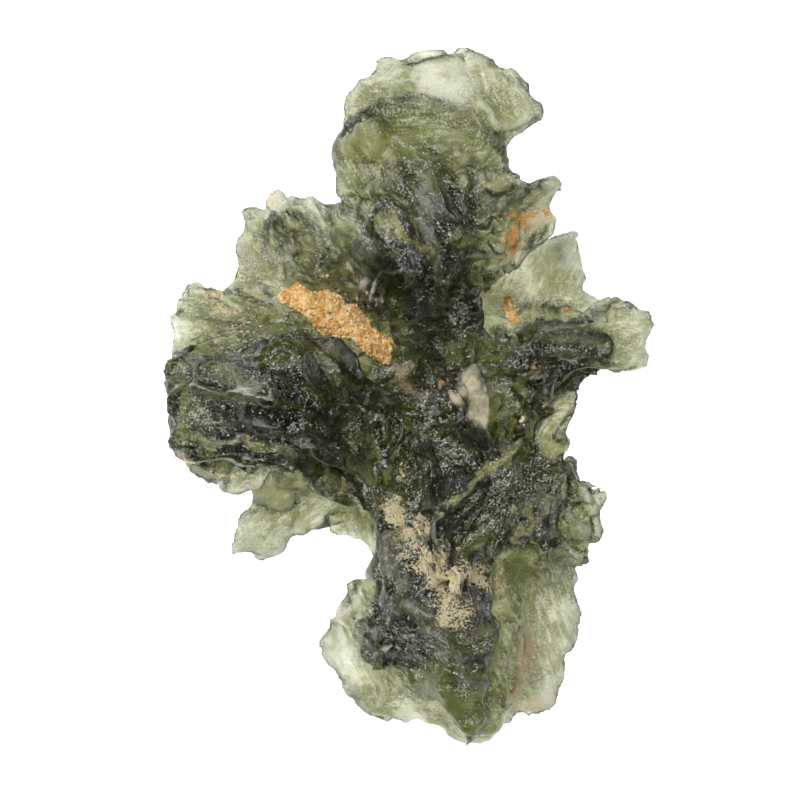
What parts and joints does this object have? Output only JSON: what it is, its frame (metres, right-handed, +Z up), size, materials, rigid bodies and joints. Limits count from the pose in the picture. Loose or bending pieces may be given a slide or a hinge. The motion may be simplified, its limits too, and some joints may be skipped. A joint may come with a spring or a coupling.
{
  "type": "moldavite",
  "caption": "Deeply etched lump of see-through green natural glass with torn, thin-edged lobes, and orange clay dried in its clefts.",
  "frame": {"origin": "middle of the underside of the part's box, on the surface that it lies on", "axes": "+Y along the longest way, towards the pale domed lobe; +X across; +Z up out of the surface"},
  "size_m": [0.0248, 0.035, 0.0126],
  "materials": {
    "moldavite_glass": "etched natural glass, frosted in its hollows and glossy on its ridges, deep olive green where thick and pale at thin edges",
    "dried_clay": "matt, granular dried orange-tan clay"
  },
  "bodies": {
    "root": {"stone": "moldavite_glass", "cleft_clay": "dried_clay", "seam_clay": "dried_clay"}
  },
  "joints": []
}
